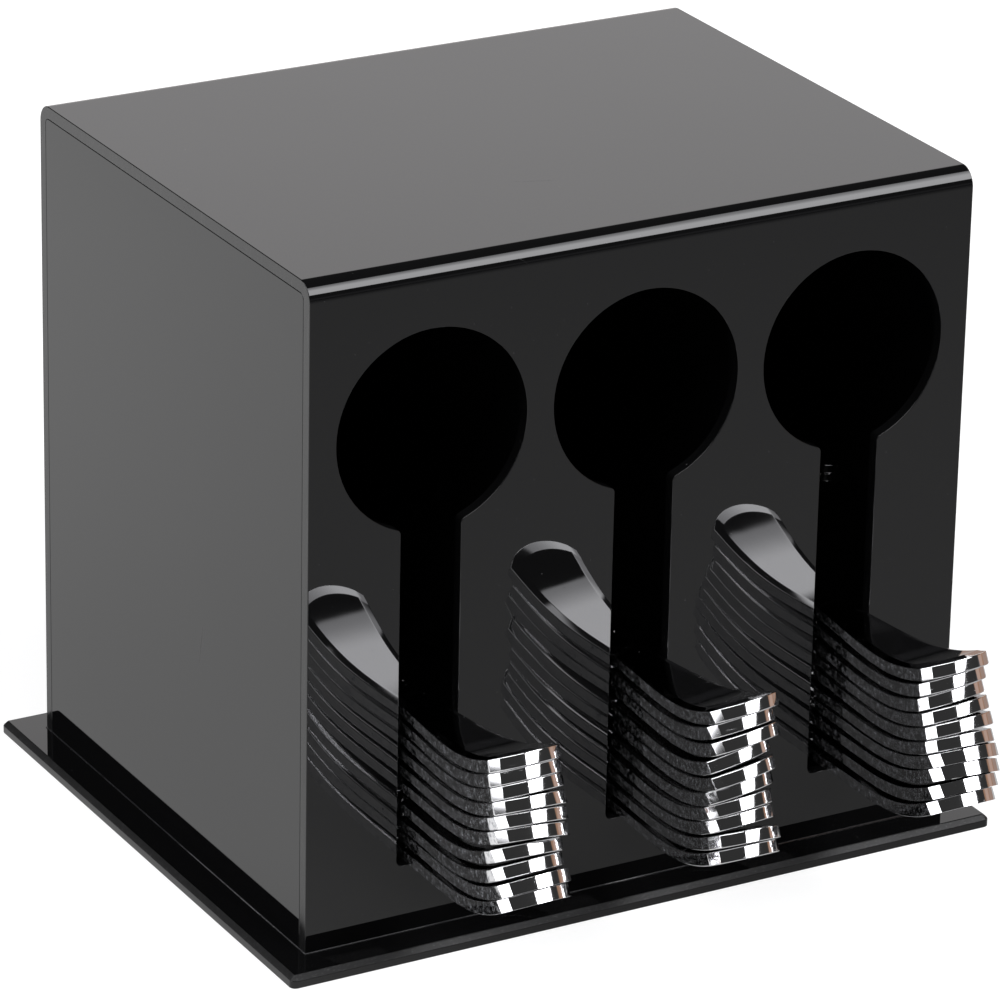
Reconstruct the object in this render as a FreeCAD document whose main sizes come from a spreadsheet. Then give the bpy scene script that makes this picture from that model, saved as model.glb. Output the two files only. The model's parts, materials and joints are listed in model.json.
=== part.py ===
import FreeCAD, Part
import math
import os
import Sketcher

# Cutlery dispenser: a glued acrylic box on a base plate, with three compartments side by side.
# Its cover is one sheet bent over front, top and rear, and the front has three keyholes through
# which the handles of the stacked cutlery stick out.
#
# Frame: millimetres, +Z up, +X to the right seen from the front, the front faces -Y.
# The origin is the centre of the underside of the base plate.

V = FreeCAD.Vector
X_AXIS = V(1, 0, 0)
Y_AXIS = V(0, 1, 0)
Z_AXIS = V(0, 0, 1)

DRIVING_DIMENSIONS = [
    ("sheet_thickness", 4.0),
    ("box_width", 225.0),
    ("box_depth", 180.0),
    ("box_height", 212.0),
    ("bend_radius", 6.0),
    ("base_side_margin", 10.5),
    ("base_front_margin", 12.0),
    ("base_edge_bevel", 0.7),
    ("keyhole_pitch", 72.0),
    ("keyhole_diameter", 63.0),
    ("keyhole_height", 160.7),
    ("keyhole_corner", 2.0),
    ("slot_width", 20.0),
    ("slot_foot", 22.0),
    ("cutlery_length", 190.0),
    ("knife_length", 200.0),
    ("handle_depth", 3.9),
    ("handle_end_width", 23.4),
    ("handle_end_radius", 13.1),
    ("handle_end_lean", 5.0),
    ("handle_middle_run", 57.2),
    ("handle_middle_width", 12.4),
    ("handle_bend_radius", 95.0),
    ("handle_bend_run", 38.2),
    ("pad_bevel_width", 2.2),
    ("pad_end_bevel_width", 3.5),
    ("pad_bevel_drop", 0.8),
    ("neck_width", 8.2),
    ("neck_bend_radius", 16.0),
    ("head_thickness", 2.4),
    ("fork_crank_start", 88.0),
    ("fork_crank_run", 50.0),
    ("fork_crank_drop", 17.0),
    ("fork_climb", 12.0),
    ("fork_width", 25.0),
    ("fork_shoulder_run", 148.0),
    ("fork_flare", 40.0),
    ("tine_slot_run", 155.5),
    ("tine_slot_width", 2.8),
    ("tine_slot_mouth", 3.6),
    ("tine_pitch", 6.6),
    ("tine_point_run", 4.0),
    ("tine_point_taper", 1.4),
    ("knife_crank_start", 90.0),
    ("knife_crank_run", 30.0),
    ("knife_crank_drop", 15.0),
    ("knife_climb", 0.0),
    ("knife_blade_run", 126.0),
    ("knife_blade_width", 20.0),
    ("knife_point_radius", 38.0),
    ("spoon_crank_start", 94.0),
    ("spoon_crank_run", 36.0),
    ("spoon_crank_drop", 9.7),
    ("spoon_climb", 0.0),
    ("spoon_bowl_width", 40.0),
    ("spoon_bowl_length", 58.0),
    ("spoon_bowl_depth", 4.8),
    ("spoon_bowl_wall", 1.8),
    ("rest_gap", 0.2),
]

SHEET = "Dimensions"
ZERO = "0"


def dim(name):
    """The driving dimension as an expression."""
    return SHEET + "." + name


def fill_sheet(doc):
    sheet = doc.addObject("Spreadsheet::Sheet", SHEET)
    for row, (name, value) in enumerate(DRIVING_DIMENSIONS, start=1):
        sheet.set("A%d" % row, name)
        sheet.set("B%d" % row, str(value))
        sheet.setAlias("B%d" % row, name)
    doc.recompute()
    return sheet


doc = FreeCAD.newDocument("CutleryDispenser")
sheet = fill_sheet(doc)


def number(expression):
    """What an expression on the sheet comes to, in millimetres or degrees."""
    result = sheet.evalExpression(expression)
    return float(getattr(result, "Value", result))


# ---------------------------------------------------------------------------------------------
# Sketches. A loop is a list of corners (x, y, bow): x and y are expressions, and bow says how
# the edge to the next corner runs: None for a straight edge, or (radius, side) for an arc whose
# centre lies to the left (+1) or to the right (-1) of the way to the next corner.
# ---------------------------------------------------------------------------------------------

def bowed_edge(start, end, radius, side):
    """An arc between two points, and which of its ends is its start."""
    chord = end - start
    left = V(-chord.y, chord.x, 0)
    left.normalize()
    height = math.sqrt(max(radius ** 2 - (chord.Length / 2) ** 2, 0))
    centre = (start + end) * 0.5 + left * (side * height)
    first, last = (start, end) if side > 0 else (end, start)
    from_angle = math.atan2(first.y - centre.y, first.x - centre.x)
    to_angle = math.atan2(last.y - centre.y, last.x - centre.x)
    if to_angle < from_angle:
        to_angle += 2 * math.pi
    arc = Part.ArcOfCircle(Part.Circle(centre, Z_AXIS, radius), from_angle, to_angle)
    return arc, (1, 2) if side > 0 else (2, 1)


def draw_loop(sketch, loop):
    """Draws the loop in the sketch and binds every corner and radius to the sheet."""
    places = [V(number(x), number(y), 0) for x, y, bow in loop]
    first_edge = sketch.GeometryCount
    ends = []
    for index, (x, y, bow) in enumerate(loop):
        start = places[index]
        end = places[(index + 1) % len(loop)]
        if bow is None:
            sketch.addGeometry(Part.LineSegment(start, end))
            ends.append((1, 2))
        else:
            arc, order = bowed_edge(start, end, number(bow[0]), bow[1])
            sketch.addGeometry(arc)
            ends.append(order)
    for index, (x, y, bow) in enumerate(loop):
        edge = first_edge + index
        previous = first_edge + (index - 1) % len(loop)
        corner = (edge, ends[index][0])
        sketch.addConstraint(Sketcher.Constraint("Coincident", previous, ends[index - 1][1], *corner))
        for kind, expression in (("DistanceX", x), ("DistanceY", y)):
            constraint = Sketcher.Constraint(kind, -1, 1, *corner, number(expression))
            sketch.setExpression("Constraints[%d]" % sketch.addConstraint(constraint), expression)
        if bow is not None:
            radius = sketch.addConstraint(Sketcher.Constraint("Radius", edge, number(bow[0])))
            sketch.setExpression("Constraints[%d]" % radius, bow[0])


def mirrored(right_side):
    """A loop symmetric about the sketch's upright axis, from its right side, bottom to top."""
    loop = list(right_side)
    for index in range(len(right_side) - 1, -1, -1):
        x, y, bow = right_side[index]
        before = right_side[index - 1][2] if index else None
        loop.append(("-(%s)" % x, y, before))
    return loop


def origin_feature(body, role):
    return next(feature for feature in body.Origin.OriginFeatures if feature.Role == role)


def body_sketch(body, name, role, loops):
    """A sketch on one of the body's own origin planes."""
    sketch = body.newObject("Sketcher::SketchObject", name)
    sketch.AttachmentSupport = [(origin_feature(body, role), "")]
    sketch.MapMode = "FlatFace"
    for loop in loops:
        draw_loop(sketch, loop)
    doc.recompute()
    return sketch


PLANE_TURNS = {
    "XY": FreeCAD.Rotation(),
    "YZ": FreeCAD.Rotation(V(1, 1, 1), 120),
}


def free_sketch(name, plane, loop):
    """A sketch on a plane through the origin, for the Part extrusions."""
    sketch = doc.addObject("Sketcher::SketchObject", name)
    sketch.Placement = FreeCAD.Placement(V(), PLANE_TURNS[plane])
    draw_loop(sketch, loop)
    return sketch


def new_body(label):
    body = doc.addObject("PartDesign::Body", label)
    body.Label = label
    return body


def bind(target, **expressions):
    for name, expression in expressions.items():
        target.setExpression(name, expression)
    return target


# ---------------------------------------------------------------------------------------------
# The box
# ---------------------------------------------------------------------------------------------

HALF_DEPTH = "%s / 2" % dim("box_depth")
BASE_TOP = dim("sheet_thickness")
BOX_TOP = "(%s + %s)" % (dim("sheet_thickness"), dim("box_height"))
INNER_HALF_DEPTH = "(%s / 2 - %s)" % (dim("box_depth"), dim("sheet_thickness"))
INNER_TOP = dim("box_height")
BEND_INSIDE = "(%s - %s)" % (dim("bend_radius"), dim("sheet_thickness"))


def make_base_plate():
    """Flat plate that the box stands on, with its upper edge bevelled and polished."""
    body = new_body("base_plate")
    half_x = "%s / 2 + %s" % (dim("box_width"), dim("base_side_margin"))
    half_y = "%s / 2 + %s" % (dim("box_depth"), dim("base_front_margin"))
    outline = [("-(%s)" % half_x, "-(%s)" % half_y, None), (half_x, "-(%s)" % half_y, None),
               (half_x, half_y, None), ("-(%s)" % half_x, half_y, None)]
    pad = body.newObject("PartDesign::Pad", "base_pad")
    pad.Profile = body_sketch(body, "base_outline", "XY_Plane", [outline])
    bind(pad, Length=dim("sheet_thickness"))
    doc.recompute()
    top_edges = ["Edge%d" % (index + 1) for index, edge in enumerate(pad.Shape.Edges)
                 if edge.BoundBox.ZMin > number(BASE_TOP) - 0.01]
    bevel = body.newObject("PartDesign::Chamfer", "base_bevel")
    bevel.Base = (pad, top_edges)
    bind(bevel, Size=dim("base_edge_bevel"))
    return body


def cover_profile():
    """Cross-section of the bent sheet, seen from the side: front wall, top and rear wall."""
    outer = "-(%s)" % HALF_DEPTH
    outer_bend = "-(%s - %s)" % (HALF_DEPTH, dim("bend_radius"))
    inner = "-(%s)" % INNER_HALF_DEPTH
    inner_bend = "-(%s - %s)" % (INNER_HALF_DEPTH, BEND_INSIDE)
    bend_height = "%s - %s" % (BOX_TOP, dim("bend_radius"))
    front = [(outer, BASE_TOP, None), (outer, bend_height, (dim("bend_radius"), -1)),
             (outer_bend, BOX_TOP, None)]
    rear = [("-(%s)" % outer_bend, BOX_TOP, (dim("bend_radius"), -1)),
            ("-(%s)" % outer, bend_height, None), ("-(%s)" % outer, BASE_TOP, None),
            ("-(%s)" % inner, BASE_TOP, None),
            ("-(%s)" % inner, bend_height, (BEND_INSIDE, 1)),
            ("-(%s)" % inner_bend, INNER_TOP, None)]
    inside = [(inner_bend, INNER_TOP, (BEND_INSIDE, 1)), (inner, bend_height, None),
              (inner, BASE_TOP, None)]
    return front + rear + inside


def keyhole_loop(centre):
    """Round hole above a slot, with the two corners between them and the slot's foot rounded."""
    middle = "(%s + %s)" % (dim("sheet_thickness"), dim("keyhole_height"))
    foot = "(%s + %s)" % (dim("sheet_thickness"), dim("slot_foot"))
    radius = "(%s / 2)" % dim("keyhole_diameter")
    corner = dim("keyhole_corner")
    half_slot = "(%s / 2)" % dim("slot_width")
    corner_x = "(%s + %s)" % (half_slot, corner)
    corner_drop = "sqrt((%s + %s) ^ 2 - %s ^ 2)" % (radius, corner, corner_x)
    share = "%s / (%s + %s)" % (radius, radius, corner)
    right = [
        ("%s - %s" % (half_slot, corner), foot, (corner, 1)),
        (half_slot, "%s + %s" % (foot, corner), None),
        (half_slot, "%s - %s" % (middle, corner_drop), (corner, -1)),
        ("%s * %s" % (corner_x, share), "%s - %s * %s" % (middle, corner_drop, share), (radius, 1)),
    ]
    top = [(ZERO, "%s + %s" % (middle, radius), (radius, 1))]
    left = [("-(%s)" % x, y, bow) for x, y, bow in reversed(right)]
    bows = [(corner, -1), None, (corner, 1), None]
    left = [(x, y, bow) for (x, y, old), bow in zip(left, bows)]
    return [("%s + %s" % (centre, x), y, bow) for x, y, bow in right + top + left]


def make_cover():
    """Front, top and rear bent from one sheet, with three keyholes cut in the front."""
    body = new_body("cover")
    pad = body.newObject("PartDesign::Pad", "cover_sheet")
    pad.Profile = body_sketch(body, "cover_section", "YZ_Plane", [cover_profile()])
    pad.Midplane = True
    bind(pad, Length=dim("box_width"))
    doc.recompute()
    first = keyhole_loop("-(%s)" % dim("keyhole_pitch"))
    keyhole = body.newObject("PartDesign::Pocket", "keyhole")
    keyhole.Profile = body_sketch(body, "keyhole_outline", "XZ_Plane", [first])
    keyhole.Type = "Length"
    bind(keyhole, Length=dim("box_depth"))
    doc.recompute()
    if keyhole.Shape.Solids[0].CenterOfMass.y < pad.Shape.Solids[0].CenterOfMass.y + 0.01:
        keyhole.Reversed = not keyhole.Reversed
        doc.recompute()
    row = body.newObject("PartDesign::LinearPattern", "keyhole_row")
    row.Originals = [keyhole]
    row.Direction = (origin_feature(body, "X_Axis"), [""])
    row.Occurrences = 3
    bind(row, Length="2 * %s" % dim("keyhole_pitch"))
    body.Tip = row
    return body


def wall_loop():
    """Outline of a side panel or divider: it fills the space under the bent sheet."""
    front = "-(%s)" % INNER_HALF_DEPTH
    front_bend = "-(%s - %s)" % (INNER_HALF_DEPTH, BEND_INSIDE)
    bend_height = "%s - %s" % (BOX_TOP, dim("bend_radius"))
    return [("-(%s)" % front, BASE_TOP, None),
            ("-(%s)" % front, bend_height, (BEND_INSIDE, 1)),
            ("-(%s)" % front_bend, INNER_TOP, None), (front_bend, INNER_TOP, (BEND_INSIDE, 1)),
            (front, bend_height, None), (front, BASE_TOP, None)]


def make_wall(label, centre):
    """Upright sheet across the box, centred at the given x."""
    body = new_body(label)
    pad = body.newObject("PartDesign::Pad", label + "_sheet")
    pad.Profile = body_sketch(body, label + "_outline", "YZ_Plane", [wall_loop()])
    pad.Midplane = True
    bind(pad, Length=dim("sheet_thickness"))
    body.setExpression("Placement.Base.x", centre)
    return body


# ---------------------------------------------------------------------------------------------
# The cutlery. Each piece is drawn in its own frame: +Y runs from the handle's end to the head,
# z = 0 is the underside of the straight part of the handle, and the corners of the handle's end
# lie at y = 0, with the bowed end reaching a little beyond them.
# ---------------------------------------------------------------------------------------------

OVERRUN = "13"     # how far the blanks run past the handle's end before it is trimmed
END_ARC = "80 deg"  # half the angle of the arc that trims the handle's end
CUT_REACH = "40"    # how far plans and side views are extruded to each side before cutting
LEVEL = "0 deg"


def turn(place, before, after, radius, side):
    """Rounded corner of a loop: the two points where its arc begins and ends."""
    x, y = place
    reach = "%s * tan(abs(%s - %s) / 2)" % (radius, after, before)
    return [
        ("%s - %s * cos(%s)" % (x, reach, before), "%s - %s * sin(%s)" % (y, reach, before),
         (radius, side)),
        ("%s + %s * cos(%s)" % (x, reach, after), "%s + %s * sin(%s)" % (y, reach, after), None),
    ]


def head_top(kind, y):
    """Height of the top of the head at a distance from the handle's end."""
    head_start = "(%s + %s)" % (dim(kind + "_crank_start"), dim(kind + "_crank_run"))
    climb = "(1 deg * %s)" % dim(kind + "_climb")
    return "(%s - %s + (%s - %s) * tan(%s))" % (dim("handle_depth"), dim(kind + "_crank_drop"),
                                                y, head_start, climb)


def side_profile(kind, end):
    """Side view of a piece: bent handle end, straight handle, sloping neck and climbing head."""
    depth = dim("handle_depth")
    bend = dim("handle_bend_radius")
    run = dim("handle_bend_run")
    thick = dim("head_thickness")
    inside = dim("neck_bend_radius")
    lean = "asin((%s + %s) / %s)" % (run, OVERRUN, bend)
    start = dim(kind + "_crank_start")
    head_start = "(%s + %s)" % (start, dim(kind + "_crank_run"))
    climb = "(1 deg * %s)" % dim(kind + "_climb")
    slope = "atan(%s / %s)" % (dim(kind + "_crank_drop"), dim(kind + "_crank_run"))
    upper = (start, depth)
    lower = (head_start, head_top(kind, head_start))
    mitre = "%s / cos((%s + %s) / 2)" % (thick, slope, climb)
    under_upper = ("(%s - %s * tan(%s / 2))" % (start, depth, slope), ZERO)
    under_lower = ("(%s + %s * sin((%s - %s) / 2))" % (head_start, mitre, climb, slope),
                   "(%s - %s * cos((%s - %s) / 2))" % (lower[1], mitre, climb, slope))
    under_slope = "atan(%s / (%s - %s))" % (under_lower[1], under_lower[0], under_upper[0])
    top_end = head_top(kind, end)
    handle = [
        ("-(%s)" % OVERRUN, "%s + %s * (1 - cos(%s))" % (depth, bend, lean), (bend, 1)),
        (run, depth, None),
    ]
    over_neck = turn(upper, LEVEL, "(-%s)" % slope, "(%s + %s)" % (inside, depth), -1)
    over_neck += turn(lower, "(-%s)" % slope, climb, inside, 1)
    head = [(end, top_end, None), (end, "%s - %s / cos(%s)" % (top_end, thick, climb), None)]
    under_neck = turn(under_upper, LEVEL, under_slope, inside, 1)
    under_neck += turn(under_lower, under_slope, climb, "(%s + %s)" % (inside, thick), -1)
    under_neck = [under_neck[3][:2] + ((under_neck[2][2][0], -1),), under_neck[2][:2] + (None,),
                  under_neck[1][:2] + ((inside, 1),), under_neck[0][:2] + (None,)]
    back = [
        (run, ZERO, ("(%s + %s)" % (bend, depth), -1)),
        ("%s - (%s + %s) * sin(%s)" % (run, bend, depth, lean),
         "%s + %s - (%s + %s) * cos(%s)" % (depth, bend, bend, depth, lean), None),
    ]
    return handle + over_neck + head + under_neck + back


HALF_END = "(%s / 2)" % dim("handle_end_width")
HALF_MIDDLE = "(%s / 2)" % dim("handle_middle_width")
HALF_NECK = "(%s / 2)" % dim("neck_width")
SIDE_TAPER = "((%s - %s) / %s)" % (HALF_END, HALF_MIDDLE, dim("handle_middle_run"))
NECK_RUN = "((%s - %s) / %s)" % (HALF_END, HALF_NECK, SIDE_TAPER)


def handle_side(handle_end):
    """Right side of the handle's plan: a straight taper that runs into the neck."""
    return [
        ("%s + 2 * %s * %s" % (HALF_END, OVERRUN, SIDE_TAPER), "-2 * %s" % OVERRUN, None),
        (HALF_NECK, NECK_RUN, None),
        (HALF_NECK, handle_end, None),
    ]


def extrude(name, sketch, direction, forward, backward):
    solid = doc.addObject("Part::Extrusion", name)
    solid.Base = sketch
    solid.DirMode = "Custom"
    solid.Dir = direction
    solid.Solid = True
    bind(solid, LengthFwd=forward, LengthRev=backward)
    return solid


def boolean(kind, name, base, tool):
    result = doc.addObject("Part::" + kind, name)
    result.Base = base
    result.Tool = tool
    return result


def upright(name, loop):
    """A plan extruded well above and below the piece."""
    sketch = free_sketch(name + "_outline", "XY", loop)
    return extrude(name, sketch, Z_AXIS, CUT_REACH, CUT_REACH)


def end_slope():
    """Slope of the handle at the corners of its end, in degrees."""
    return number("asin(%s / %s)" % (dim("handle_bend_run"), dim("handle_bend_radius")))


def end_rise():
    """How much higher those corners are than the straight part of the handle."""
    return number("%s * (1 - cos(asin(%s / %s)))" % (dim("handle_bend_radius"), dim("handle_bend_run"),
                                                     dim("handle_bend_radius")))


def end_trim(kind):
    """Bowed end of the handle: it leans back a little from square to the slope there."""
    radius = dim("handle_end_radius")
    length = "(2 * %s)" % dim("cutlery_length")
    centre = "sqrt(%s ^ 2 - %s ^ 2)" % (radius, HALF_END)
    wide = "(%s * sin(%s))" % (radius, END_ARC)
    bow = "(%s - %s * cos(%s))" % (centre, radius, END_ARC)
    loop = [(wide, bow, None), (wide, length, None), ("-%s" % wide, length, None),
            ("-%s" % wide, bow, (radius, 1))]
    sketch = free_sketch(kind + "_end_outline", "XY", loop)
    lean = end_slope() + number(dim("handle_end_lean"))
    sketch.Placement = FreeCAD.Placement(V(), FreeCAD.Rotation(X_AXIS, -lean))
    level = "%s + %s * (1 - cos(asin(%s / %s)))" % (dim("handle_depth"), dim("handle_bend_radius"),
                                                    dim("handle_bend_run"), dim("handle_bend_radius"))
    sketch.setExpression("Placement.Base.z", level)
    square = sketch.Placement.Rotation.multVec(Z_AXIS)
    return extrude(kind + "_end", sketch, square, CUT_REACH, CUT_REACH)


def top_border(shape, ends):
    """Edges between the top of the handle and its sides, or only that at its bowed end."""
    found = []
    for index, edge in enumerate(shape.Edges):
        middle = edge.valueAt((edge.FirstParameter + edge.LastParameter) / 2)
        climbs = []
        for face in shape.ancestorsOfType(edge, Part.Face):
            climbs.append(face.normalAt(*face.Surface.parameter(middle)).z)
        bordering = min(climbs) < 0.5 < max(climbs)
        at_end = edge.BoundBox.YMin < number(HALF_END) and abs(middle.x) < 0.1
        at_cut = edge.BoundBox.YMin > shape.BoundBox.YMax - 0.1
        if bordering and not at_cut and at_end == ends:
            found.append(index + 1)
    return found


def bevel(name, base, ends):
    """Bevels the border of the pad on top of the handle: its sides, or its bowed end."""
    doc.recompute()
    result = doc.addObject("Part::Chamfer", name)
    result.Base = base
    width = number(dim("pad_end_bevel_width" if ends else "pad_bevel_width"))
    drop = number(dim("pad_bevel_drop"))
    result.Edges = [(index, drop, width) for index in top_border(base.Shape, ends)]
    return result


def make_handle(kind, side):
    """Handle with a bevelled pad: the side view and the plan cut out of one another."""
    handle_end = "(%s - %s)" % (dim(kind + "_crank_start"), HALF_NECK)
    plan = upright(kind + "_handle_plan", mirrored(handle_side(handle_end)))
    shaft = boolean("Common", kind + "_shaft", side, plan)
    blank = boolean("Common", kind + "_handle_blank", shaft, end_trim(kind))
    return bevel(kind + "_handle", bevel(kind + "_handle_sides", blank, False), True)


def neck_start(kind):
    """Where the neck's plan begins: a little within the handle."""
    return "(%s - %s)" % (dim(kind + "_crank_start"), dim("neck_width"))


def make_side(kind, end):
    sketch = free_sketch(kind + "_side_view", "YZ", side_profile(kind, end))
    return extrude(kind + "_side", sketch, X_AXIS, CUT_REACH, CUT_REACH)


def tine_slot(place):
    """Gap between two tines: it widens towards the points."""
    centre = "%d * %s" % (place, dim("tine_pitch"))
    half = "(%s / 2)" % dim("tine_slot_width")
    mouth = "(%s / 2)" % dim("tine_slot_mouth")
    beyond = "%s + %s" % (dim("cutlery_length"), dim("tine_slot_width"))
    loop = [("%s + %s" % (centre, half), "%s + %s" % (dim("tine_slot_run"), half), None),
            ("%s + %s" % (centre, mouth), beyond, None),
            ("%s - %s" % (centre, mouth), beyond, None),
            ("%s - %s" % (centre, half), "%s + %s" % (dim("tine_slot_run"), half), None),
            ("%s - %s / 2" % (centre, half), dim("tine_slot_run"), None),
            ("%s + %s / 2" % (centre, half), dim("tine_slot_run"), None)]
    return upright("tine_slot_%d" % (place + 2), loop)


def make_fork():
    """Fork with four tines: the head dips below the handle and rises again to the points."""
    length = dim("cutlery_length")
    side = make_side("fork", length)
    half = "(%s / 2)" % dim("fork_width")
    shoulder = dim("fork_shoulder_run")
    lean = "(1 deg * %s)" % dim("fork_flare")
    head_plan = mirrored([
        (HALF_NECK, neck_start("fork"), None),
        (HALF_NECK, "%s - (%s - %s) / tan(%s)" % (shoulder, half, HALF_NECK, lean), None),
        (half, shoulder, None),
        (half, "%s - %s" % (length, dim("tine_point_run")), None),
        ("%s - %s" % (half, dim("tine_point_taper")), length, None),
    ])
    head = boolean("Common", "fork_head", side, upright("fork_head_plan", head_plan))
    whole = boolean("Fuse", "fork_whole", make_handle("fork", side), head)
    for place in (-1, 0, 1):
        whole = boolean("Cut", "fork_cut_%d" % (place + 2), whole, tine_slot(place))
    return whole


def spoon_oval(inset):
    """Plan of the bowl: two broad arcs along its sides and two tighter ones round its ends."""
    middle = "(%s - %s / 2)" % (dim("cutlery_length"), dim("spoon_bowl_length"))
    half_length = "(%s / 2 - %s)" % (dim("spoon_bowl_length"), inset)
    half_width = "(%s / 2 - %s)" % (dim("spoon_bowl_width"), inset)
    tight = "(0.72 * %s)" % half_width
    gap = "(%s - %s)" % (half_length, tight)
    broad = "((%s ^ 2 + %s ^ 2 - %s ^ 2) / (2 * (%s - %s)))" % (half_width, gap, tight, half_width, tight)
    centre_x = "(%s - %s)" % (half_width, broad)
    lean = "atan(%s / (%s - %s))" % (gap, broad, half_width)
    shoulder_x = "(%s * cos(%s))" % (tight, lean)
    shoulder_y = "(%s + %s * sin(%s))" % (gap, tight, lean)
    return [
        (shoulder_x, "%s - %s" % (middle, shoulder_y), (broad, 1)),
        (shoulder_x, "%s + %s" % (middle, shoulder_y), (tight, 1)),
        (ZERO, "%s + %s" % (middle, half_length), (tight, 1)),
        ("-" + shoulder_x, "%s + %s" % (middle, shoulder_y), (broad, 1)),
        ("-" + shoulder_x, "%s - %s" % (middle, shoulder_y), (tight, 1)),
        (ZERO, "%s - %s" % (middle, half_length), (tight, 1)),
    ]


def spoon_bowl(name, inset):
    """Shallow oval dish below the height of the neck's top."""
    rim = head_top("spoon", dim("cutlery_length"))
    depth = "(%s - %s)" % (dim("spoon_bowl_depth"), inset)
    sketch = free_sketch(name + "_rim", "XY", spoon_oval(inset))
    sketch.setExpression("Placement.Base.z", rim)
    return extrude(name, sketch, -Z_AXIS, depth, ZERO)


def make_spoon():
    """Spoon with an oval bowl: the neck drops to the bowl's rim."""
    bowl_start = "(%s - %s)" % (dim("cutlery_length"), dim("spoon_bowl_length"))
    neck_end = "(%s + %s)" % (bowl_start, HALF_NECK)
    side = make_side("spoon", neck_end)
    neck_plan = mirrored([(HALF_NECK, neck_start("spoon"), None), (HALF_NECK, neck_end, None)])
    neck = boolean("Common", "spoon_neck", side, upright("spoon_neck_plan", neck_plan))
    shank = boolean("Fuse", "spoon_shank", make_handle("spoon", side), neck)
    whole = boolean("Fuse", "spoon_whole", shank, spoon_bowl("spoon_bowl_outside", ZERO))
    return boolean("Cut", "spoon_hollowed", whole, spoon_bowl("spoon_bowl_inside", dim("spoon_bowl_wall")))


def make_knife():
    """Table knife: a straight back, and an edge that curves round to the point."""
    length = dim("knife_length")
    side = make_side("knife", length)
    heel = dim("knife_blade_run")
    half = "(%s / 2)" % dim("knife_blade_width")
    curve = dim("knife_point_radius")
    blade_plan = [
        ("-" + HALF_NECK, neck_start("knife"), None),
        (HALF_NECK, neck_start("knife"), None),
        (HALF_NECK, heel, None),
        (half, "%s + %s - %s" % (heel, half, HALF_NECK), None),
        (half, "%s - sqrt(2 * %s * %s - %s ^ 2)" % (length, curve, half, half), (curve, 1)),
        (ZERO, length, None),
        ("-" + half, "%s - %s" % (length, half), None),
        ("-" + half, "%s + %s - %s" % (heel, half, HALF_NECK), None),
        ("-" + HALF_NECK, heel, None),
    ]
    blade = boolean("Common", "knife_blade", side, upright("knife_blade_plan", blade_plan))
    return boolean("Fuse", "knife_whole", make_handle("knife", side), blade)


# ---------------------------------------------------------------------------------------------
# The stacks. Piece 1 lies lowest: its handle rests on the foot of the slot and its head on the
# base plate. Each further piece nests on the one beneath it. "aside" says how far the stack
# leans to one side of its keyhole, and the lists say, from the lowest piece up, how far each
# handle's end sticks out of the front and how it is rolled.
# ---------------------------------------------------------------------------------------------

STACKS = {
    "fork": {
        "column": -1,
        "aside": -1.7,
        "fan": 0.45,
        "reach": [66.5, 66.5, 62.5, 62.5, 65.5, 64.5, 63.5, 61.5, 60, 59.6],
        "roll": [1, 2, 1.5, -2, -5, -3.5, -2, 1, 1, 1],
    },
    "knife": {
        "column": 0,
        "aside": 0,
        "fan": 0.15,
        "reach": [62, 62.5, 59, 58, 57.5, 59.5, 56, 60, 57.5, 59.1],
        "roll": [-0.5, -2, 3, 4, 8, 9, 11, 7.5, 6, 5],
    },
    "spoon": {
        "column": 1,
        "aside": 1.2,
        "fan": 0.55,
        "reach": [66.5, 67.5, 68, 67, 64.5, 63.5, 61, 58, 58.5, 59.5],
        "roll": [1, 0, -3, -1.5, -1, 2, 4, 5.5, 4.5, 3],
    },
}
STATION = 1.0       # distance between the places where two pieces are compared
STEEPEST = 15.0     # steepest pitch tried for a lowest piece, in degrees
HALVINGS = 20


def piece_placement(stack, reach, height, pitch, roll):
    """Puts the middle of the line between the end's upper corners at its place."""
    tilt = FreeCAD.Rotation(X_AXIS, -pitch)
    turn = FreeCAD.Rotation(Y_AXIS, -roll)
    rotation = tilt.multiply(turn)
    corner = V(0, 0, number(dim("handle_depth")) + end_rise())
    across = stack["column"] * number(dim("keyhole_pitch")) + stack["aside"]
    target = V(across, -number(HALF_DEPTH) - reach, height)
    return FreeCAD.Placement(target - rotation.multVec(corner), rotation)


def lengthwise_section(shape):
    """The piece cut lengthwise, through a tine where it is a fork, as short straight stretches."""
    stretches = []
    for wire in shape.slice(X_AXIS, number(dim("tine_pitch")) / 2):
        points = wire.discretize(Distance=1.0)
        stretches += list(zip(points, points[1:] + points[:1]))
    return stretches


def outline_height(stretches, placement, y, pick):
    """Highest (pick=max) or lowest (pick=min) point of the placed section above a place y."""
    heights = []
    for start, end in stretches:
        first = placement.multVec(V(0, start.y, start.z))
        last = placement.multVec(V(0, end.y, end.z))
        if min(first.y, last.y) <= y <= max(first.y, last.y) and first.y != last.y:
            share = (y - first.y) / (last.y - first.y)
            heights.append(first.z + share * (last.z - first.z))
    return pick(heights) if heights else None


def half_width(kind, y):
    """Half the width of the piece at a distance from the handle's end."""
    head = number(dim({"fork": "fork_width", "knife": "knife_blade_width", "spoon": "spoon_bowl_width"}[kind]))
    places = [(0, number(HALF_END)), (number(NECK_RUN), number(HALF_NECK)),
              (number(dim(kind + "_crank_start")), number(HALF_NECK)),
              (number(dim("fork_shoulder_run")), head / 2), (number("2 * %s" % dim("knife_length")), head / 2)]
    for (near, near_half), (far, far_half) in zip(places, places[1:]):
        if near <= y <= far:
            return near_half + (far_half - near_half) * (y - near) / (far - near)
    return places[0][1]


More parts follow.
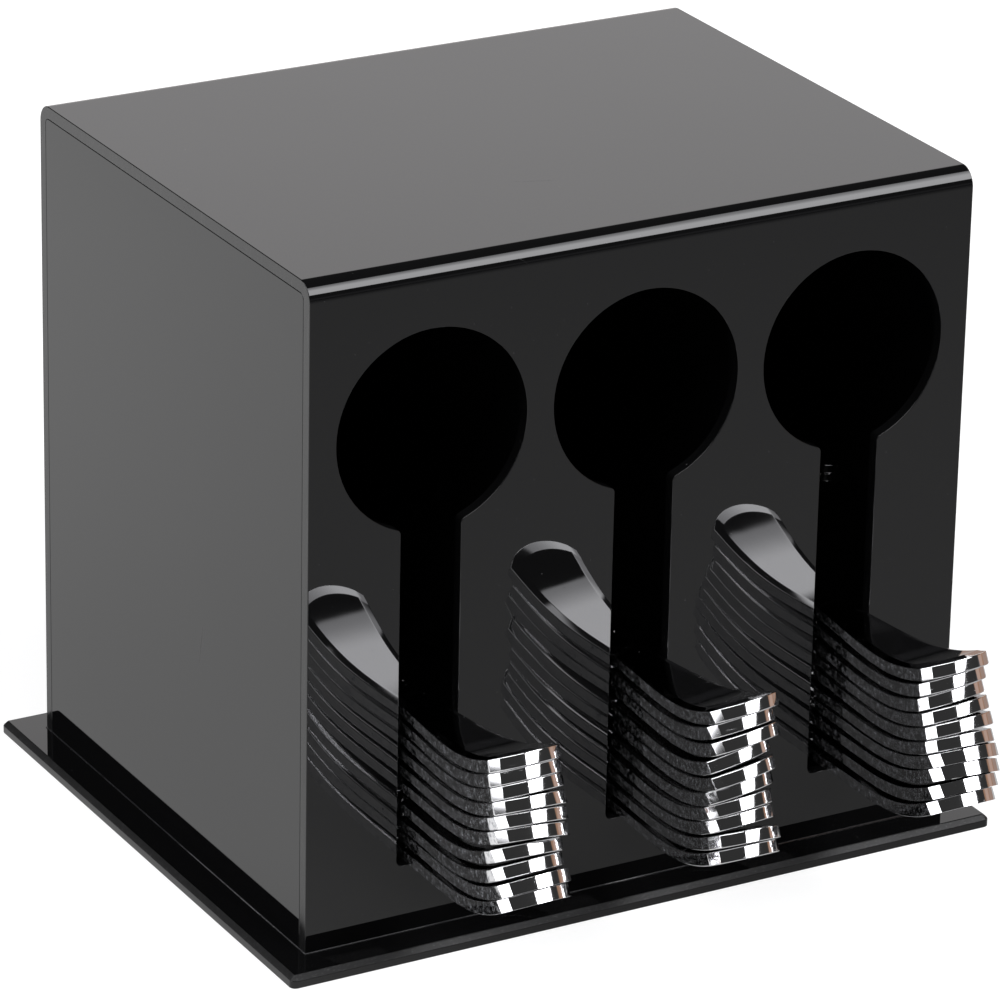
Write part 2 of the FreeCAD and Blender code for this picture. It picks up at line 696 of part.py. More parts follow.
def lowest_piece(shape, section, stack):
    """Pitch and height at which the lowest piece rests on the slot's foot and the base plate."""
    reach = stack["reach"][0]
    roll = stack["roll"][0]
    foot = number("%s + %s + %s" % (dim("sheet_thickness"), dim("slot_foot"), dim("rest_gap")))
    floor = number("%s + %s" % (dim("sheet_thickness"), dim("rest_gap")))
    rise = number(dim("handle_depth")) + end_rise()
    rear_of_slot = reach + number(dim("sheet_thickness"))
    tipped = abs(math.sin(math.radians(roll))) * number(HALF_MIDDLE)
    points = [vertex.Point for vertex in shape.Vertexes] + [start for start, end in section]
    low, high = 0.0, STEEPEST
    for halving in range(HALVINGS):
        pitch = (low + high) / 2
        lean = math.radians(pitch)
        height = foot + rise / math.cos(lean) + rear_of_slot * math.tan(lean) + tipped
        placement = piece_placement(stack, reach, height, pitch, roll)
        if min(placement.multVec(point).z for point in points) > floor:
            low = pitch
        else:
            high = pitch
    return pitch, height


def nesting_height(kind, section, lower, upper, twist):
    """How far the upper piece is lifted to rest on the lower one, both placed without roll."""
    front = lower.multVec(V(0, 0, 0)).y
    lift = None
    for step in range(int(number(dim("knife_length")) / STATION)):
        y = front + step * STATION
        top = outline_height(section, lower, y, max)
        bottom = outline_height(section, upper, y, min)
        if top is None or bottom is None:
            continue
        needed = top - bottom + number(dim("rest_gap")) / math.cos(math.radians(end_slope()))
        needed += half_width(kind, step * STATION) * math.sin(math.radians(twist))
        lift = needed if lift is None else max(lift, needed)
    return lift


def place_stack(kind, master):
    """Ten linked copies of the piece, nested on one another."""
    doc.recompute()
    stack = STACKS[kind]
    section = lengthwise_section(master.Shape)
    pitch, height = lowest_piece(master.Shape, section, stack)
    nodes = []
    for index, (reach, roll) in enumerate(zip(stack["reach"], stack["roll"])):
        if index:
            lower = piece_placement(stack, stack["reach"][index - 1], height, pitch, 0)
            pitch -= stack["fan"]
            upper = piece_placement(stack, reach, height, pitch, 0)
            twist = abs(roll - stack["roll"][index - 1])
            height += nesting_height(kind, section, lower, upper, twist)
        node = doc.addObject("App::Link", "%s_%d" % (kind, index + 1))
        node.Label = "%s_%d" % (kind, index + 1)
        node.LinkedObject = master
        node.Placement = piece_placement(stack, reach, height, pitch, roll)
        nodes.append(node)
    return nodes


def write_nodes(nodes):
    """Checks the document and every sub-part, then writes one STEP file for each."""
    doc.recompute()
    for thing in doc.Objects:
        if "Invalid" in thing.State or "Error" in thing.State:
            raise RuntimeError("%s: %s" % (thing.Label, thing.State))
    os.makedirs("parts", exist_ok=True)
    for node in nodes:
        shape = Part.getShape(node)
        if shape.isNull() or not shape.isValid() or len(shape.Solids) != 1:
            raise RuntimeError("%s has no single valid solid" % node.Label)
        shape.exportStep("parts/%s.step" % node.Label)


side_place = "(%s / 2 - %s / 2)" % (dim("box_width"), dim("sheet_thickness"))
divider_place = "(%s / 2)" % dim("keyhole_pitch")
box_nodes = [
    make_base_plate(),
    make_cover(),
    make_wall("left_side_panel", "-" + side_place),
    make_wall("right_side_panel", side_place),
    make_wall("left_divider", "-" + divider_place),
    make_wall("right_divider", divider_place),
]
cutlery_nodes = place_stack("fork", make_fork())
cutlery_nodes += place_stack("knife", make_knife())
cutlery_nodes += place_stack("spoon", make_spoon())
write_nodes(box_nodes + cutlery_nodes)
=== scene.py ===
# %% [markdown]
# Cutlery dispenser. A glossy black acrylic box stands on a thin plate, and metallised cutlery
# sticks out of three keyholes in its front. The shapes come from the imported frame. This script
# rounds their edges, draws the handles and the plate more finely, adds the line of cement along
# the foot of the box, and gives each surface its finish.
# Units are metres. +Z is up and the front with the keyholes faces -Y.

# %% Load the frame
import json
import math

import bmesh
import bpy
import numpy
from mathutils import Matrix, Vector
from mathutils.bvhtree import BVHTree


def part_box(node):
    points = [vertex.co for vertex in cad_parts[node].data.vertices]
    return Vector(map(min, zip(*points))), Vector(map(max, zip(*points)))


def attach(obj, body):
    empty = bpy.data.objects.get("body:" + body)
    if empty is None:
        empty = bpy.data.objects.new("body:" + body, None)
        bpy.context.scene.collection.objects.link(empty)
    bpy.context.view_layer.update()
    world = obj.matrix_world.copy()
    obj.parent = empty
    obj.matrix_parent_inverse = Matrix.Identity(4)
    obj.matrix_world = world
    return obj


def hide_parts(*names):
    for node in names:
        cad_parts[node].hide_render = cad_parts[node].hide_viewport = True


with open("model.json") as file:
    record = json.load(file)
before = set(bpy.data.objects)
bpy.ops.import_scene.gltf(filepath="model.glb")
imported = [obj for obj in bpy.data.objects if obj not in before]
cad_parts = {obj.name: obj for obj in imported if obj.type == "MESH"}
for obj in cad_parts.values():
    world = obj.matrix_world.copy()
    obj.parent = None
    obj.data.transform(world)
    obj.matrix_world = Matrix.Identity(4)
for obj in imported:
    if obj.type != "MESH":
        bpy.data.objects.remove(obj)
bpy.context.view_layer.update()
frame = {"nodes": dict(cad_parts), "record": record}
MM = 0.001

# %% [markdown]
# Most sizes are read back from the frame, so that the added pieces stay in place if the box
# changes. The cover gives the outside of the box, and the side panel gives the thickness of the
# sheet that the box is made of.

# %% Measure the box
plate_low, plate_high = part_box("base_plate")
box_low, box_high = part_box("cover")
panel_low, panel_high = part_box("left_side_panel")
SHEET = panel_high.x - panel_low.x
PLATE_TOP = plate_high.z
HALF_BOX = box_high.x
KINDS = ("fork", "knife", "spoon")
PIECES = [name for name in frame["nodes"] if name.split("_")[0] in KINDS]
BODY_OF = {node: body for body, nodes in frame["record"]["behaviour"]["bodies"].items()
           for node in nodes}
print("sheet %.1f mm, box %.0f mm wide, %d pieces of cutlery"
      % (SHEET / MM, (box_high.x - box_low.x) / MM, len(PIECES)))

# %% [markdown]
# The camera stands far back with a long lens, so the box's edges stay almost parallel. It looks
# slightly down at the front left corner, and is tipped by about one degree.

# %% Camera
CAMERA_AZIMUTH = math.radians(-29.601)
CAMERA_ELEVATION = math.radians(22.595)
CAMERA_DISTANCE = 1.8757
CAMERA_AIM = Vector((0.0020, 0.0, 0.09535))
CAMERA_ROLL = math.radians(1.166)
CAMERA_LENS = 216.46


def make_camera():
    back = Vector((math.sin(CAMERA_AZIMUTH) * math.cos(CAMERA_ELEVATION),
                   -math.cos(CAMERA_AZIMUTH) * math.cos(CAMERA_ELEVATION),
                   math.sin(CAMERA_ELEVATION)))
    level_right = (-back).cross(Vector((0, 0, 1))).normalized()
    level_up = back.cross(level_right)
    right = level_right * math.cos(CAMERA_ROLL) + level_up * math.sin(CAMERA_ROLL)
    up = level_up * math.cos(CAMERA_ROLL) - level_right * math.sin(CAMERA_ROLL)
    camera = bpy.data.objects.new("camera", bpy.data.cameras.new("camera"))
    turn = Matrix((right, up, back)).transposed().to_4x4()
    camera.matrix_world = Matrix.Translation(CAMERA_AIM + back * CAMERA_DISTANCE) @ turn
    camera.data.lens = CAMERA_LENS
    camera.data.clip_end = 100
    bpy.context.scene.collection.objects.link(camera)
    bpy.context.scene.camera = camera
    return camera


camera = make_camera()
print("camera at", [round(value, 3) for value in camera.location])

# %% [markdown]
# Node trees are built with a few small helpers: one adds a node and sets its inputs or its
# settings, one links two sockets, and one fills a Color Ramp from a short list.

# %% Small helpers for node trees
def node(tree, kind, place=(0, 0), **values):
    made = tree.nodes.new(kind)
    made.location = place
    for name, value in values.items():
        key = name.replace("_", " ")
        if key in made.inputs:
            made.inputs[key].default_value = value
        else:
            setattr(made, name, value)
    return made


def link(tree, source, target):
    tree.links.new(source, target)


def ramp_stops(ramp, stops):
    """Fills a Color Ramp from a short list of (position, grey level or colour)."""
    elements = ramp.color_ramp.elements
    while len(elements) > 1:
        elements.remove(elements[-1])
    for index, (position, level) in enumerate(stops):
        element = elements[0] if index == 0 else elements.new(position)
        element.position = position
        colour = level if isinstance(level, tuple) else (level, level, level)
        element.color = (*colour, 1)


def maths(tree, operation, first, second=None, place=(0, 0)):
    """A Math node; each of the two values is a number or a socket."""
    made = node(tree, "ShaderNodeMath", place, operation=operation)
    for socket, value in zip(made.inputs, (first, second)):
        if value is None:
            continue
        if isinstance(value, (int, float)):
            socket.default_value = value
        else:
            link(tree, value, socket)
    return made.outputs[0]


def smooth_step(tree, value, start, end, place=(0, 0)):
    """0 before start, 1 after end and a smooth rise between them."""
    made = node(tree, "ShaderNodeMapRange", place, interpolation_type="SMOOTHSTEP",
                From_Min=start, From_Max=end)
    link(tree, value, made.inputs["Value"])
    return made.outputs["Result"]


print("helpers ready")

# %% [markdown]
# Black acrylic and metallised plastic show almost nothing but reflections, so the surroundings
# decide how they look. Lamps could do it, but a mirror shows a lamp's edges, so each bright
# surface is drawn where it belongs: a softbox high in front with a brighter middle, a narrow one
# and a pale wall at the left, a panel above, a pale backdrop behind the box on the right, and a
# brown table low at the right. The rest of the room is almost dark. A camera ray that misses
# everything sees plain white.

# %% World
ROOM_GREY = 0.03
LOWER_SOFT = 1
# azimuth from, to, lean of both sides; elevation from, to; softness of the sides, of the top;
# colour. Angles are in degrees, and azimuth 0 is straight in front of the box.
WINDOWS = {
    "main_softbox": (-6, 57, 0.8, 28, 60, 4, 1.5, (3.2, 3.2, 3.3)),
    "softbox_middle": (-6, 50, 0.8, 28, 53, 4, 14, (4.4, 4.4, 4.5)),
    "left_softbox": (-99, -80, 0, 4, 62, 2, 3, (3.0, 3.0, 3.1)),
    "left_wall": (-132, -104, 0, 4, 62, 2, 3, (2.0, 2.0, 2.1)),
    "high_panel": (-82, -6, 0, 44, 66, 6, 3, (4.0, 4.0, 4.1)),
    "backdrop": (135, 178, 0, -4, 27, 6, 6, (1.03, 1.01, 1.02)),
    "brown_table": (75, 135, 0, -16, 24, 3, 3, (0.30, 0.165, 0.10)),
    "front_glow": (-50, 100, 0, 2, 10, 3, 3, (0.12, 0.12, 0.13)),
}


def window(tree, azimuth, elevation, limits, row):
    """One bright surface: its colour inside its limits, and nothing outside them."""
    west, east, lean, low, high, side_soft, top_soft, colour = limits
    place = -320 * row
    leaning = maths(tree, "MULTIPLY_ADD", elevation, -lean, (-700, place))
    leaning.node.inputs[2].default_value = low * lean
    upright = maths(tree, "ADD", azimuth, leaning, (-600, place))
    left = smooth_step(tree, upright, west - side_soft / 2, west + side_soft / 2, (-500, place))
    right = smooth_step(tree, upright, east + side_soft / 2, east - side_soft / 2,
                        (-500, place - 70))
    lower = smooth_step(tree, elevation, low - LOWER_SOFT, low + LOWER_SOFT, (-500, place - 140))
    upper = smooth_step(tree, elevation, high + top_soft / 2, high - top_soft / 2,
                        (-500, place - 210))
    inside = maths(tree, "MULTIPLY", left, right, (-300, place))
    between = maths(tree, "MULTIPLY", lower, upper, (-300, place - 140))
    glow = node(tree, "ShaderNodeBackground", (-50, place), Color=(*colour, 1))
    link(tree, maths(tree, "MULTIPLY", inside, between, (-150, place)), glow.inputs["Strength"])
    return glow.outputs[0]


def make_world():
    world = bpy.data.worlds.new("studio")
    bpy.context.scene.world = world
    world.use_nodes = True
    tree = world.node_tree
    tree.nodes.clear()
    direction = node(tree, "ShaderNodeTexCoord", (-1300, 0))
    parts = node(tree, "ShaderNodeSeparateXYZ", (-1100, 0))
    link(tree, direction.outputs["Generated"], parts.inputs[0])
    toward_front = maths(tree, "MULTIPLY", parts.outputs["Y"], -1, (-950, 100))
    azimuth = maths(tree, "ARCTAN2", parts.outputs["X"], toward_front, (-900, 100))
    azimuth = maths(tree, "MULTIPLY", azimuth, 180 / math.pi, (-850, 100))
    elevation = maths(tree, "ARCSINE", parts.outputs["Z"], None, (-900, -100))
    elevation = maths(tree, "MULTIPLY", elevation, 180 / math.pi, (-850, -100))
    room = node(tree, "ShaderNodeBackground", (0, 300), Color=(ROOM_GREY, ROOM_GREY, ROOM_GREY, 1))
    total = room.outputs[0]
    for row, limits in enumerate(WINDOWS.values()):
        both = node(tree, "ShaderNodeAddShader", (200, -200 * row))
        link(tree, total, both.inputs[0])
        link(tree, window(tree, azimuth, elevation, limits, row), both.inputs[1])
        total = both.outputs[0]
    rays = node(tree, "ShaderNodeLightPath", (200, 500))
    seen = node(tree, "ShaderNodeBackground", (200, 300), Color=(1, 1, 1, 1), Strength=1.0)
    mix = node(tree, "ShaderNodeMixShader", (450, 100))
    output = node(tree, "ShaderNodeOutputWorld", (650, 100))
    link(tree, rays.outputs["Is Camera Ray"], mix.inputs["Fac"])
    link(tree, total, mix.inputs[1])
    link(tree, seen.outputs[0], mix.inputs[2])
    link(tree, mix.outputs[0], output.inputs[0])
    return world


make_world()
print("world with", len(WINDOWS), "bright surfaces:", ", ".join(WINDOWS))

# %% [markdown]
# The floor is a plain pale sheet. What a camera ray sees of it is lifted to white, so that no
# extra light is needed and the shadow stays. What a reflection sees of it is painted light, a glow
# laid on by place: bright behind the box on the left, grey in front of it, brown at the right, and
# dark far away. In reflections the floor's own grey is painted shade, a darker copy of its grey.

# %% Floor
FLOOR_HALF = 6.0
FLOOR_LIFT = 0.80
FLOOR_GREY = 0.34
# Painted shade: the darker grey that reflections see of the floor.
FLOOR_SHADED_GREY_IN_MIRROR = 0.14
# share of FLOOR_REACH from the middle: level of the painted light that a reflection sees in front,
# and behind
FRONT_FLOOR_PAINTED_LIGHT = [(0.0, 0.36), (0.15, 0.30), (0.30, 0.20), (0.45, 0.09), (0.65, 0.02), (1.0, 0.0)]
REAR_FLOOR_PAINTED_LIGHT = [(0.0, 0.68), (0.2, 0.86), (0.35, 0.86), (0.6, 0.55), (1.0, 0.28)]
FLOOR_REACH = 3.0
REAR_DIRECTION = (-0.87, 0.5, 0)
REAR_EDGE = (-0.05, 0.12)
# Brown of a table at the right, painted into the floor's glow as a painted reflection.
PAINTED_TABLE_GLOW_BROWN = (0.17, 0.075, 0.032)
TABLE_LEFT_EDGE = (0.20, 0.30)
TABLE_FRONT_EDGE = (-0.20, -0.10)


def make_floor():
    mesh = bpy.data.meshes.new("floor")
    corners = [(x * FLOOR_HALF, y * FLOOR_HALF, 0) for x, y in ((-1, -1), (1, -1), (1, 1), (-1, 1))]
    mesh.from_pydata(corners, [], [(0, 1, 2, 3)])
    floor = bpy.data.objects.new("floor", mesh)
    bpy.context.scene.collection.objects.link(floor)
    material = bpy.data.materials.new("pale_floor")
    material.use_nodes = True
    tree = material.node_tree
    tree.nodes.clear()
    place = node(tree, "ShaderNodeTexCoord", (-1500, 0)).outputs["Object"]
    length = node(tree, "ShaderNodeVectorMath", (-1300, 100), operation="LENGTH")
    link(tree, place, length.inputs[0])
    distance = maths(tree, "DIVIDE", length.outputs["Value"], FLOOR_REACH, (-1100, 100))
    front = node(tree, "ShaderNodeValToRGB", (-900, 200))
    ramp_stops(front, FRONT_FLOOR_PAINTED_LIGHT)
    rear = node(tree, "ShaderNodeValToRGB", (-900, -50))
    ramp_stops(rear, REAR_FLOOR_PAINTED_LIGHT)
    link(tree, distance, front.inputs["Fac"])
    link(tree, distance, rear.inputs["Fac"])
    toward_rear = node(tree, "ShaderNodeVectorMath", (-1300, -200), operation="DOT_PRODUCT")
    toward_rear.inputs[1].default_value = REAR_DIRECTION
    link(tree, place, toward_rear.inputs[0])
    which = smooth_step(tree, toward_rear.outputs["Value"], *REAR_EDGE, (-1100, -200))
    mixed = node(tree, "ShaderNodeMix", (-600, 100), data_type="RGBA")
    link(tree, which, mixed.inputs["Factor"])
    link(tree, front.outputs["Color"], mixed.inputs["A"])
    link(tree, rear.outputs["Color"], mixed.inputs["B"])
    where = node(tree, "ShaderNodeSeparateXYZ", (-1300, -450))
    link(tree, place, where.inputs[0])
    at_right = smooth_step(tree, where.outputs["X"], *TABLE_LEFT_EDGE, (-1100, -400))
    not_in_front = smooth_step(tree, where.outputs["Y"], *TABLE_FRONT_EDGE, (-1100, -650))
    on_table = maths(tree, "MULTIPLY", at_right, not_in_front, (-900, -450))
    tinted = node(tree, "ShaderNodeMix", (-500, -150), data_type="RGBA")
    tinted.inputs["B"].default_value = (*PAINTED_TABLE_GLOW_BROWN, 1)
    link(tree, on_table, tinted.inputs["Factor"])
    link(tree, mixed.outputs["Result"], tinted.inputs["A"])
    rays = node(tree, "ShaderNodeLightPath", (-900, 500))
    # Painted light: in reflections the floor glows with the pattern above, brown patch included.
    painted_floor_glow = node(tree, "ShaderNodeEmission", (-350, 0))
    link(tree, tinted.outputs["Result"], painted_floor_glow.inputs["Color"])
    link(tree, rays.outputs["Is Glossy Ray"], painted_floor_glow.inputs["Strength"])
    seen = node(tree, "ShaderNodeEmission", (-350, 250), Color=(1, 1, 1, 1))
    link(tree, maths(tree, "MULTIPLY", rays.outputs["Is Camera Ray"], FLOOR_LIFT, (-550, 300)),
         seen.inputs["Strength"])
    surface = node(tree, "ShaderNodeBsdfDiffuse", (-350, -200))
    # Painted shade: in reflections the floor's grey drops to a darker copy.
    dimmed = maths(tree, "MULTIPLY", rays.outputs["Is Glossy Ray"],
                   FLOOR_SHADED_GREY_IN_MIRROR - FLOOR_GREY, (-900, 350))
    link(tree, maths(tree, "ADD", dimmed, FLOOR_GREY, (-700, 350)), surface.inputs["Color"])
    first = node(tree, "ShaderNodeAddShader", (-100, 100))
    both = node(tree, "ShaderNodeAddShader", (100, 100))
    output = node(tree, "ShaderNodeOutputMaterial", (300, 100))
    link(tree, painted_floor_glow.outputs[0], first.inputs[0])
    link(tree, seen.outputs[0], first.inputs[1])
    link(tree, first.outputs[0], both.inputs[0])
    link(tree, surface.outputs[0], both.inputs[1])
    link(tree, both.outputs[0], output.inputs[0])
    floor.data.materials.append(material)
    return floor


floor = make_floor()
print("floor ready")

# %% [markdown]
# Real sheet has polished, slightly rounded edges, and moulded cutlery has softly rounded ones.
# A hard edge gives no highlight at all, so each node is copied, its triangles are joined into
# whole faces, and a small Bevel rounds the edges. Weighted normals keep the flat faces flat.

# %% Rounded copies of the nodes
def rounded(name, mesh, radius, segments, **limits):
    """Makes a piece of the mesh, rounds its edges and lets it stand in for the node."""
    mesh.materials.clear()
    mesh.shade_smooth()
    piece = bpy.data.objects.new(name + "_skin", mesh)
    bpy.context.scene.collection.objects.link(piece)
    rounding = piece.modifiers.new("rounding", "BEVEL")
    rounding.width = radius
    rounding.segments = segments
    rounding.use_clamp_overlap = True
    rounding.miter_outer = "MITER_ARC"
    for setting, value in limits.items():
        setattr(rounding, setting, value)
    shading = piece.modifiers.new("shading", "WEIGHTED_NORMAL")
    shading.weight = 50
    shading.keep_sharp = False
    graph = bpy.context.evaluated_depsgraph_get()
    finished = bpy.data.meshes.new_from_object(piece.evaluated_get(graph))
    piece.modifiers.clear()
    piece.data = finished
    finished.name = name + "_skin"
    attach(piece, BODY_OF[name])
    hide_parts(name)
    return piece


MERGE_DISTANCE = 0.002 * MM
FLAT_ANGLE = math.radians(0.2)


def join_triangles(work):
    """Merges the loose triangles of a node and joins those that lie in one plane."""
    bmesh.ops.remove_doubles(work, verts=work.verts, dist=MERGE_DISTANCE)
    bmesh.ops.dissolve_limit(work, angle_limit=FLAT_ANGLE, verts=work.verts, edges=work.edges)


def sheet_mesh(name):
    mesh = frame["nodes"][name].data.copy()
    work = bmesh.new()
    work.from_mesh(mesh)
    join_triangles(work)
    work.to_mesh(mesh)
    work.free()
    return mesh


print("each node will be merged within", MERGE_DISTANCE / MM, "mm before it is rounded")

# %% [markdown]
# The upper edge of the plate was ground to a broad bevel, and its corners are rounded. The Bevel
# modifier gives all edges one width, so the plate is drawn as three rounded rectangles, one above
# another: the foot, the lower rim of the bevel and the top, which is set in.

# %% The plate with its bevel
PLATE_BEVEL = 1.5 * MM
PLATE_CORNER = 2.0 * MM
CORNER_STEPS = 5


def plate_ring(inset, z):
    """Points of a rounded rectangle at height z, set in from the outline of the plate."""
    low, high, radius = plate_low, plate_high, PLATE_CORNER
    ring = []
    for number, (side_x, side_y) in enumerate(((1, 1), (-1, 1), (-1, -1), (1, -1))):
        centre_x = (high.x if side_x > 0 else low.x) - side_x * radius
        centre_y = (high.y if side_y > 0 else low.y) - side_y * radius
        for step in range(CORNER_STEPS + 1):
            angle = math.pi / 2 * (number + step / CORNER_STEPS)
            ring.append((centre_x + (radius - inset) * math.cos(angle),
                         centre_y + (radius - inset) * math.sin(angle), z))
    return ring


def plate_mesh():
    """The plate with the broad bevel of its upper edge and its rounded corners."""
    rings = [plate_ring(0, plate_low.z), plate_ring(0, plate_high.z - PLATE_BEVEL),
             plate_ring(PLATE_BEVEL, plate_high.z)]
    count = len(rings[0])
    faces = [tuple(reversed(range(count))), tuple(range(2 * count, 3 * count))]
    for ring in range(2):
        for place in range(count):
            after = (place + 1) % count
            faces.append((ring * count + place, ring * count + after,
                          (ring + 1) * count + after, (ring + 1) * count + place))
    mesh = bpy.data.meshes.new("base_plate")
    mesh.from_pydata([point for ring in rings for point in ring], [], faces)
    mesh.update()
    return mesh


print("plate bevel %.1f mm, corners %.1f mm" % (PLATE_BEVEL / MM, PLATE_CORNER / MM))

# %% [markdown]
# Every sheet is then rounded by a quarter of a millimetre, on all edges sharper than the limit.
# The bends of the cover are made of shallow facets, so they stay as they are.

# %% Rounded sheets
SHEET_EDGE = 0.25 * MM
SHEET_SHARP = math.radians(20)
box_skins = {name: rounded(name, plate_mesh() if name == "base_plate" else sheet_mesh(name),
                           SHEET_EDGE, 2, limit_method="ANGLE", angle_limit=SHEET_SHARP)
             for name in frame["nodes"] if name not in PIECES}
print("rounded sheets:", ", ".join(box_skins))

# %% [markdown]
# A handle is what shows most, and it mirrors the room like a spoon does, so it needs an even
# surface. The handle of each piece is drawn again as a grid of quads: rows run across it, from
# the bowed end to a join inside the box, and columns run along it. Its outline, its two curved
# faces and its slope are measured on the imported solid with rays, so it lies in the same place.
# The border of the pad on top slopes down in a broad bevel, which is widest at the end.

# %% Measure a handle on its solid
JOIN_Y = box_low.y + 10 * MM
END_BOW = 13.1 * MM
PAD_SLOPE_START = 3.2 * MM
RAY_START = 30 * MM
WALL_CLEARANCE = 0.9 * MM
WALL_FACING = 0.84
TIP_MARGIN = 0.3 * MM
FACE_MARGIN = 0.2 * MM
MEASURE_STEP = 1 * MM
CORNER_STEP = 0.02 * MM
FIT_DEGREE = 5


def measure_handle(name):
    """Curves of the two faces, half widths and directions of one handle."""
    solid = bmesh.new()
    solid.from_mesh(frame["nodes"][name].data)
    tree = BVHTree.FromBMesh(solid)
    low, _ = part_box(name)
    tip = [vertex.co.x for vertex in solid.verts if vertex.co.y < low.y + TIP_MARGIN]
    solid.free()
    centre = sum(tip) / len(tip)
    down, up = Vector((0, 0, -1)), Vector((0, 0, 1))
    pad, under, tilts = [], [], []
    for y in numpy.arange(low.y + PAD_SLOPE_START, JOIN_Y, MEASURE_STEP):
        place, normal, _, _ = tree.ray_cast(Vector((centre, y, 1)), down)
        pad.append((y, place.z))
        tilts.append(-normal.x / normal.z)
    for y in numpy.arange(low.y + TIP_MARGIN, JOIN_Y, MEASURE_STEP):
        under.append((y, tree.ray_cast(Vector((centre, y, -1)), up)[0].z))
    across = Vector((1, 0, sum(tilts) / len(tilts))).normalized()
    upright = across.cross(Vector((0, -1, 0))).normalized()
    if upright.z < 0:
        upright.negate()
    walls = []
    for y, z in under:
        middle = Vector((centre, y, z)) + upright * WALL_CLEARANCE
        left, left_normal = tree.ray_cast(middle - across * RAY_START, across)[:2]
        right, right_normal = tree.ray_cast(middle + across * RAY_START, -across)[:2]
        if left is None or right is None:
            continue
        if min(-left_normal.dot(across), right_normal.dot(across)) > WALL_FACING:
            walls.append((y, (middle - left).length, (right - middle).length))
    fit = numpy.polynomial.Polynomial.fit
    top = fit(*zip(*pad), FIT_DEGREE)
    bottom = fit(*zip(*under), FIT_DEGREE)
    start = Vector((centre, low.y, bottom(low.y)))
    face = tree.ray_cast(start + Vector((0, -RAY_START, FACE_MARGIN)), Vector((0, 1, 0)))[1]
    rise = Vector((0, face.z, -face.y)).normalized()
    corner = start.copy()
    while corner.z < top(corner.y):
        corner += rise * CORNER_STEP
    return {"centre": centre, "top": top, "bottom": bottom, "across": across, "upright": upright,
            "walls": numpy.array(walls), "rise": rise, "end_low": start.y, "end_high": corner.y}


print("handles are measured from y = %.0f mm to their ends" % (JOIN_Y / MM))

# %% [markdown]
# The rows follow the bow of the end and then straighten out. The outermost row and columns lie
# lower than the pad by the bevel's drop, so the strips next to them are the bevels. Towards the
# end the sides reach deeper, and the upper rim goes back as far as the lower one comes forward,
# so that the face of the end keeps its slope.

# %% Draw a handle as a grid
SIDE_BEVEL = 2.2 * MM
END_BEVEL = 4.2 * MM
SIDE_DROP = 0.7 * MM
END_DROP = 0.75 * MM
SKIRT = 0.8 * MM
SKIRT_RUN = 70 * MM
ROW_STEP = 2.0 * MM
STRAIGHTENING = 14 * MM
PAD_COLUMNS = 15
FIRST_HALF_WIDTH = 9 * MM
WALL_PASSES = 8
BOW_LIMIT = 0.98


def wall_at(shape, y, column):
    """Half width at a place along the handle; beyond the first place it goes on straight."""
    walls = shape["walls"]
    if y >= walls[0, 0]:
        return numpy.interp(y, walls[:, 0], walls[:, column])
    growth = (walls[2, column] - walls[0, column]) / (walls[2, 0] - walls[0, 0])
    return walls[0, column] + growth * (y - walls[0, 0])


def grid_points(shape, face, end, rows, on_top):
    """Rows of points on one face; face gives its height and end is where it begins."""
    slope = math.cos(math.atan(face.deriv()(end)))
    grid = []
    for number, run in enumerate(rows):
        curved = max(0.0, 1 - max(0.0, run - END_BEVEL) / STRAIGHTENING) ** 2

        def station(offset):
            reach = min(abs(offset), END_BOW * BOW_LIMIT)
            bow = END_BOW - math.sqrt(END_BOW ** 2 - reach ** 2)
            return min(end + run + bow * slope * curved, JOIN_Y)

        left = right = FIRST_HALF_WIDTH
        for _ in range(WALL_PASSES):
            left, right = wall_at(shape, station(left), 1), wall_at(shape, station(right), 2)
        inner = numpy.linspace(-left + SIDE_BEVEL, right - SIDE_BEVEL, PAD_COLUMNS)
        row = []
        for offset in [-left, *inner, right]:
            y = station(offset)
            point = Vector((shape["centre"], y, face(y))) + shape["across"] * offset
            deeper = SKIRT * max(0.0, 1 - (y - end) / SKIRT_RUN)
            point.y += shape["rise"].y * deeper
            if not on_top:
                point -= shape["rise"] * deeper
            elif number == 0:
                point -= shape["rise"] * END_DROP
            elif offset in (-left, right):
                point -= shape["upright"] * SIDE_DROP
            row.append(point)
        grid.append(row)
    return grid


def draw_handle(shape, work):
    """Adds the closed handle to a bmesh."""
    end_slope = math.cos(math.atan(shape["top"].deriv()(shape["end_high"])))
    length = JOIN_Y - shape["end_high"]
    runs = [0.0, END_BEVEL * end_slope]
    while runs[-1] + ROW_STEP < length:
        runs.append(runs[-1] + ROW_STEP)
    runs[-1] = length
    stretch = (JOIN_Y - shape["end_low"]) / length
    upper = grid_points(shape, shape["top"], shape["end_high"], runs, True)
    lower = grid_points(shape, shape["bottom"], shape["end_low"],
                        [run * stretch for run in runs], False)
    above = [[work.verts.new(point) for point in row] for row in upper]
    below = [[work.verts.new(point) for point in row] for row in lower]
    faces = []
    last = len(above[0]) - 1
    for near, far, near_low, far_low in zip(above, above[1:], below, below[1:]):
        for side in range(last):
            faces.append((near[side], near[side + 1], far[side + 1], far[side]))
            faces.append((near_low[side], far_low[side], far_low[side + 1], near_low[side + 1]))
        faces.append((near[0], far[0], far_low[0], near_low[0]))
        faces.append((near[last], near_low[last], far_low[last], far[last]))
    for side in range(last):
        faces.append((above[0][side], below[0][side], below[0][side + 1], above[0][side + 1]))
        faces.append((above[-1][side], above[-1][side + 1], below[-1][side + 1], below[-1][side]))
    made = [work.faces.new(corners) for corners in faces]
    bmesh.ops.recalc_face_normals(work, faces=made)


print("a pad has", PAD_COLUMNS, "columns, and a row every", ROW_STEP / MM, "mm")

